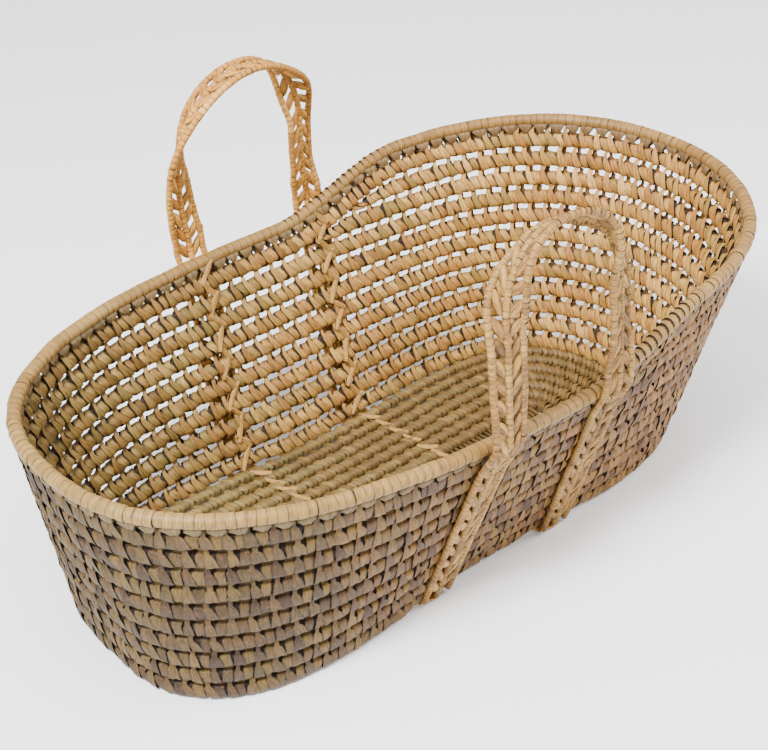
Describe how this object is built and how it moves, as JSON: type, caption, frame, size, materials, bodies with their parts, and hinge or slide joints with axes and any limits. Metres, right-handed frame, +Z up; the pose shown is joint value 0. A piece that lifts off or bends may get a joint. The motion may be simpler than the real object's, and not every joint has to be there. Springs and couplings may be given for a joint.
{
  "type": "moses basket",
  "caption": "Long oval cot basket of coiled palm leaf with a raised head end, a wrapped rim and two openwork carrying loops that fold in or out.",
  "frame": {"origin": "on the floor, under the middle of the basket", "axes": "+X to the raised head end, +Y to the back loop, +Z up"},
  "size_m": [0.8546, 0.5, 0.4575],
  "materials": {
    "wall_leaf": "dry coiled palm leaf, matt with a slight sheen on the strips",
    "base_leaf": "dry coiled palm leaf, yellow straw",
    "rim_leaf": "pale wrapped palm leaf, slightly smooth",
    "strap_leaf": "tightly wrapped palm-leaf cord",
    "strap_tie_leaf": "single twisted palm-leaf strips",
    "sisal": "golden sisal cord, fibrous"
  },
  "bodies": {
    "basket": {"base_core": "base_leaf", "base_ring_1": "base_leaf", "base_ring_2": "base_leaf", "base_ring_3": "base_leaf", "base_ring_4": "base_leaf", "base_ring_5": "base_leaf", "base_ring_6": "base_leaf", "base_ring_7": "base_leaf", "wall_row_1": "wall_leaf", "wall_row_2": "wall_leaf", "wall_row_3": "wall_leaf", "wall_row_4": "wall_leaf", "wall_row_5": "wall_leaf", "wall_row_6": "wall_leaf", "wall_row_7": "wall_leaf", "wall_row_8": "wall_leaf", "wall_row_9": "wall_leaf", "head_row_lower": "wall_leaf", "head_row_upper": "wall_leaf", "shoulder_row": "wall_leaf", "rim_roll": "rim_leaf", "front_strap_foot": "strap_leaf", "front_strap_head": "strap_leaf", "back_strap_foot": "strap_leaf", "back_strap_head": "strap_leaf", "strap_ties": "strap_tie_leaf", "under_strap_foot": "strap_leaf", "under_strap_head": "strap_leaf", "wall_lacing_front_foot": "sisal", "wall_lacing_front_head": "sisal", "wall_lacing_back_foot": "sisal", "wall_lacing_back_head": "sisal", "floor_lacing_foot": "sisal", "floor_lacing_head": "sisal"},
    "front_loop": {"front_loop_edge_cords": "strap_leaf", "front_loop_middle_cord": "strap_leaf", "front_loop_ties": "strap_tie_leaf"},
    "back_loop": {"back_loop_edge_cords": "strap_leaf", "back_loop_middle_cord": "strap_leaf", "back_loop_ties": "strap_tie_leaf"}
  },
  "joints": [
    {"name": "front_loop_fold", "type": "hinge", "parent": "basket", "child": "front_loop", "pos_m": [-0.019, -0.2445, 0.256], "axis": [1, 0, 0], "range_deg": [-60, 150]},
    {"name": "back_loop_fold", "type": "hinge", "parent": "basket", "child": "back_loop", "pos_m": [-0.0155, 0.2445, 0.256], "axis": [1, 0, 0], "range_deg": [-150, 52]}
  ]
}
